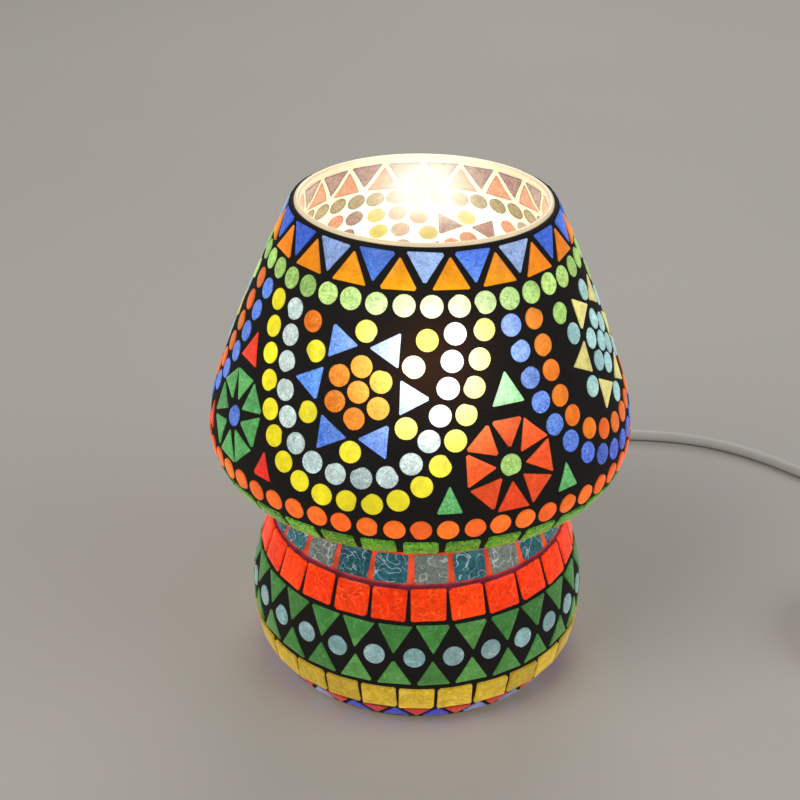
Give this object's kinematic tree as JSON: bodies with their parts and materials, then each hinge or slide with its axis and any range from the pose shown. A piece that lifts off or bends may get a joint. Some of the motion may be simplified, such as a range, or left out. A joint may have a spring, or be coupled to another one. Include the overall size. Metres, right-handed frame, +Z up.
{
  "type": "mosaic glass table lamp",
  "caption": "Mushroom-shaped table lamp of blown glass dressed with coloured glass tiles, with a screw-in bulb, in-line switch, cord and plug.",
  "frame": {"origin": "on the table under the vessel's axis, at the centre of the felt foot's lower face", "axes": "+Z up along the vessel's axis, -Y is the front, +Y is the back where the cord leaves the base"},
  "size_m": [0.3134, 0.2584, 0.1808],
  "materials": {
    "clear_glass": "thin blown glass, smooth inside, milky with the bulb's light",
    "grout": "dark cement, matt and gritty",
    "blue_glass": "scratched and rippled stained glass",
    "orange_glass": "rippled stained glass",
    "lime_glass": "rippled stained glass",
    "yellow_glass": "rippled stained glass",
    "white_glass": "clear to milky rippled glass",
    "teal_glass": "pale teal rippled glass",
    "cream_glass": "pale yellow rippled glass",
    "red_glass": "red stained glass",
    "green_glass": "green stained glass",
    "moss_glass": "green stained glass with a coarse ripple",
    "deep_teal_glass": "teal glass with a coarse ripple",
    "grey_glass": "clear glass with a coarse ripple",
    "vermilion_glass": "red-orange stained glass",
    "amber_glass": "amber stained glass",
    "felt": "pressed felt",
    "steel": "zinc-plated sheet and turned parts",
    "brass": "stamped and turned brass",
    "nickel": "nickel-plated stamping",
    "holder_plastic": "moulded thermoset",
    "white_plastic": "moulded, satin gloss",
    "cord_pvc": "smooth flexible PVC",
    "bulb_glass": "thin clear envelope",
    "filament": "glowing filament",
    "vitrite": "black glass insulator with a solder tip",
    "copper": "insulated leads"
  },
  "bodies": {
    "root": {"glass_body": "clear_glass", "grout_shade": "grout", "grout_base": "grout", "rim_blue_triangles": "blue_glass", "rim_orange_triangles": "orange_glass", "lime_discs": "lime_glass", "yellow_garland_discs": "yellow_glass", "white_garland_discs": "white_glass", "blue_discs": "blue_glass", "orange_garland_discs": "orange_glass", "orange_star_discs": "orange_glass", "blue_star_triangles": "blue_glass", "yellow_star_discs": "yellow_glass", "teal_star_discs": "teal_glass", "cream_star_triangles": "cream_glass", "red_flower_petals": "red_glass", "green_flower_petals": "green_glass", "green_gap_triangles": "green_glass", "red_gap_triangles": "red_glass", "girdle_orange_discs": "orange_glass", "underside_green_blocks": "moss_glass", "neck_teal_blocks": "deep_teal_glass", "neck_clear_blocks": "grey_glass", "shoulder_orange_squares": "vermilion_glass", "belly_green_triangles": "moss_glass", "belly_pale_discs": "white_glass", "skirt_amber_blocks": "amber_glass", "foot_red_triangles": "red_glass", "foot_blue_triangles": "blue_glass", "felt_foot": "felt", "base_plate": "steel", "cross_bar": "steel", "cord_grommet": "cord_pvc", "stem_tube": "brass", "stem_nuts": "steel", "stem_washer": "steel", "holder_cap": "holder_plastic", "holder_skirt": "holder_plastic", "holder_core": "holder_plastic", "holder_screw_shell": "brass", "holder_contact": "brass", "holder_terminal_screws": "nickel", "inner_leads": "copper", "cord_inside": "cord_pvc", "cord_run": "cord_pvc", "cord_link": "cord_pvc", "cord_coil": "cord_pvc", "cord_end": "cord_pvc", "switch_base": "white_plastic", "switch_cover": "white_plastic", "switch_screws": "nickel", "plug_body": "white_plastic", "plug_pins": "brass"},
    "bulb_base": {"bulb_cap": "nickel", "bulb_tip": "vitrite"},
    "bulb_top": {"bulb_glass": "bulb_glass", "bulb_stem": "bulb_glass", "bulb_filaments": "filament"},
    "rocker": {"switch_rocker": "white_plastic"}
  },
  "joints": [
    {"name": "bulb_rise", "type": "slide", "parent": "root", "child": "bulb_base", "axis": [0, 0, 1], "range_m": [0, 0.00846]},
    {"name": "bulb_turn", "type": "hinge", "parent": "bulb_base", "child": "bulb_top", "pos_m": [0, 0, 0.1], "axis": [0, 0, 1], "range_deg": [0, 1082]},
    {"name": "switch_rocker_tip", "type": "hinge", "parent": "root", "child": "rocker", "pos_m": [0.22, 0.044, 0.011], "axis": [1, 0, 0], "range_deg": [-16, 0]}
  ],
  "couplings": [
    {"joint": "bulb_turn", "follows": "bulb_rise", "rad_per_m": 2228.1}
  ]
}
